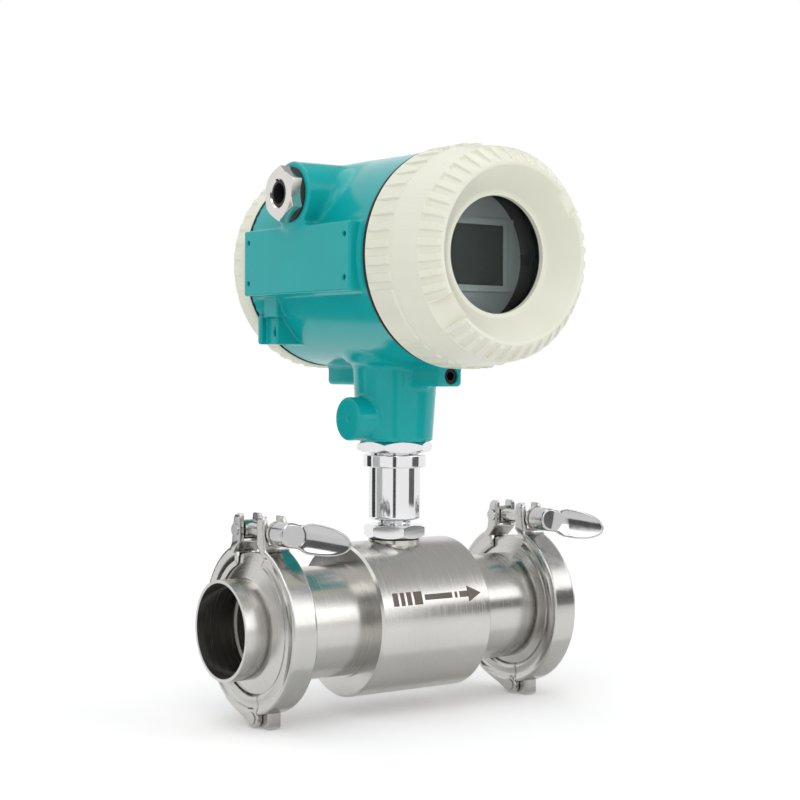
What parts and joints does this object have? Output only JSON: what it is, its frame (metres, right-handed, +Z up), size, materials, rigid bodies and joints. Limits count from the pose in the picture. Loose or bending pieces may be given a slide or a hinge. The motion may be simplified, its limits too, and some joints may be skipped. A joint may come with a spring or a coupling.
{
  "type": "turbine flow meter",
  "caption": "Sanitary turbine flow meter: clamped inline pipe body with rotor, neck-mounted round enclosure with a display behind a glass window and a cable gland.",
  "frame": {"origin": "centre of the pipe bore at the inlet ferrule's open end", "axes": "+X along the pipe from inlet to outlet, +Z up the neck, -Y the way the display faces"},
  "size_m": [0.1798, 0.1487, 0.2456],
  "materials": {
    "stainless_turned": "polished stainless, fine turning marks",
    "stainless_cast": "satin cast stainless with polished edges",
    "stainless_hardware": "bright stainless hardware",
    "chrome_neck": "chromed barrel and nuts",
    "nickel_gland": "nickel-plated brass",
    "teal_enamel": "glossy teal enamel on cast aluminium",
    "ivory_enamel": "glossy ivory enamel on cast aluminium",
    "black_rubber": "black elastomer",
    "white_gasket": "white elastomer",
    "window_glass": "clear tempered glass",
    "grey_bezel": "satin grey plastic",
    "black_plastic": "satin black plastic",
    "lcd_panel": "dark unlit liquid crystal panel",
    "black_screw": "black oxide steel",
    "green_board": "green solder-masked board",
    "bearing_bronze": "carbide-lined bronze bush",
    "magnet": "plain sintered magnet",
    "coil_copper": "enamelled copper winding"
  },
  "bodies": {
    "meter": {"meter_body": "stainless_turned", "upstream_guide": "stainless_turned", "downstream_guide": "stainless_turned", "upstream_retainer": "stainless_hardware", "downstream_retainer": "stainless_hardware", "upstream_bearing": "bearing_bronze", "downstream_bearing": "bearing_bronze", "inlet_gasket": "white_gasket", "outlet_gasket": "white_gasket", "inlet_ferrule": "stainless_turned", "outlet_ferrule": "stainless_turned", "seal_washer": "black_rubber", "lock_nut": "chrome_neck", "sensor_barrel": "chrome_neck", "sensor_magnet": "magnet", "sensor_coil": "coil_copper", "neck_stem": "chrome_neck", "neck_nut": "chrome_neck", "housing": "teal_enamel", "partition": "teal_enamel", "lock_screws": "black_screw", "gland_washer": "black_rubber", "gland_body": "nickel_gland", "gland_seal": "black_rubber", "blanking_plug": "nickel_gland", "plug_washer": "black_rubber", "display_carrier": "black_plastic", "display_bezel": "grey_bezel", "display_lcd": "lcd_panel", "display_screws": "black_screw", "board_standoffs": "stainless_hardware", "amplifier_board": "green_board", "terminal_block": "black_plastic", "terminal_screws": "stainless_hardware", "inlet_clamp_rear_half": "stainless_cast", "inlet_clamp_hinge_pin": "stainless_hardware", "inlet_clamp_bolt_pin": "stainless_hardware", "outlet_clamp_rear_half": "stainless_cast", "outlet_clamp_hinge_pin": "stainless_hardware", "outlet_clamp_bolt_pin": "stainless_hardware"},
    "rotor": {"rotor": "stainless_turned", "rotor_shaft": "stainless_hardware"},
    "front_seal": {"front_o_ring": "black_rubber"},
    "front_lid": {"front_cover": "ivory_enamel", "window_gasket": "black_rubber", "window_glass": "window_glass", "window_ring": "black_plastic"},
    "rear_seal": {"rear_o_ring": "black_rubber"},
    "rear_lid": {"rear_cover": "ivory_enamel"},
    "inlet_clamp_jaw": {"inlet_clamp_front_half": "stainless_cast"},
    "inlet_swing_bolt": {"inlet_clamp_eye_bolt": "stainless_hardware"},
    "inlet_bolt_washer": {"inlet_clamp_washer": "stainless_hardware"},
    "inlet_nut": {"inlet_clamp_wing_nut": "stainless_cast"},
    "outlet_clamp_jaw": {"outlet_clamp_front_half": "stainless_cast"},
    "outlet_swing_bolt": {"outlet_clamp_eye_bolt": "stainless_hardware"},
    "outlet_bolt_washer": {"outlet_clamp_washer": "stainless_hardware"},
    "outlet_nut": {"outlet_clamp_wing_nut": "stainless_cast"}
  },
  "joints": [
    {"name": "rotor_spin", "type": "hinge", "parent": "meter", "child": "rotor", "pos_m": [0.089, 0, 0], "axis": [1, 0, 0], "continuous": true},
    {"name": "front_seal_travel", "type": "slide", "parent": "meter", "child": "front_seal", "axis": [0, -1, 0], "range_m": [0, 0.00751]},
    {"name": "front_cover_turn", "type": "hinge", "parent": "front_seal", "child": "front_lid", "pos_m": [0.089, -0.06, 0.1572], "axis": [0, -1, 0], "range_deg": [0, 1800]},
    {"name": "rear_seal_travel", "type": "slide", "parent": "meter", "child": "rear_seal", "axis": [0, 1, 0], "range_m": [0, 0.00751]},
    {"name": "rear_cover_turn", "type": "hinge", "parent": "rear_seal", "child": "rear_lid", "pos_m": [0.089, 0.06, 0.1572], "axis": [0, 1, 0], "range_deg": [0, 1800]},
    {"name": "inlet_jaw_swing", "type": "hinge", "parent": "meter", "child": "inlet_clamp_jaw", "pos_m": [0.019, -0.004, -0.03718], "axis": [1, 0, 0], "range_deg": [0, 3.2]},
    {"name": "inlet_bolt_swing", "type": "hinge", "parent": "meter", "child": "inlet_swing_bolt", "pos_m": [0.019, 0.01, 0.041], "axis": [-1, 0, 0], "range_deg": [0, 95]},
    {"name": "inlet_washer_travel", "type": "slide", "parent": "inlet_swing_bolt", "child": "inlet_bolt_washer", "axis": [0, -1, 0], "range_m": [0, 0.00501]},
    {"name": "inlet_nut_turn", "type": "hinge", "parent": "inlet_bolt_washer", "child": "inlet_nut", "pos_m": [0.019, -0.02, 0.041], "axis": [0, -1, 0], "range_deg": [0, 1800]},
    {"name": "outlet_jaw_swing", "type": "hinge", "parent": "meter", "child": "outlet_clamp_jaw", "pos_m": [0.159, -0.004, -0.03718], "axis": [1, 0, 0], "range_deg": [0, 3.2]},
    {"name": "outlet_bolt_swing", "type": "hinge", "parent": "meter", "child": "outlet_swing_bolt", "pos_m": [0.159, 0.01, 0.041], "axis": [-1, 0, 0], "range_deg": [0, 95]},
    {"name": "outlet_washer_travel", "type": "slide", "parent": "outlet_swing_bolt", "child": "outlet_bolt_washer", "axis": [0, -1, 0], "range_m": [0, 0.00501]},
    {"name": "outlet_nut_turn", "type": "hinge", "parent": "outlet_bolt_washer", "child": "outlet_nut", "pos_m": [0.159, -0.02, 0.041], "axis": [0, -1, 0], "range_deg": [0, 1800]}
  ],
  "couplings": [
    {"joint": "front_seal_travel", "follows": "front_cover_turn", "m_per_rad": 0.00023873},
    {"joint": "rear_seal_travel", "follows": "rear_cover_turn", "m_per_rad": 0.00023873},
    {"joint": "inlet_washer_travel", "follows": "inlet_nut_turn", "m_per_rad": 0.00015915},
    {"joint": "inlet_jaw_swing", "follows": "inlet_nut_turn", "ratio": 0.0017299},
    {"joint": "outlet_washer_travel", "follows": "outlet_nut_turn", "m_per_rad": 0.00015915},
    {"joint": "outlet_jaw_swing", "follows": "outlet_nut_turn", "ratio": 0.0017299}
  ]
}
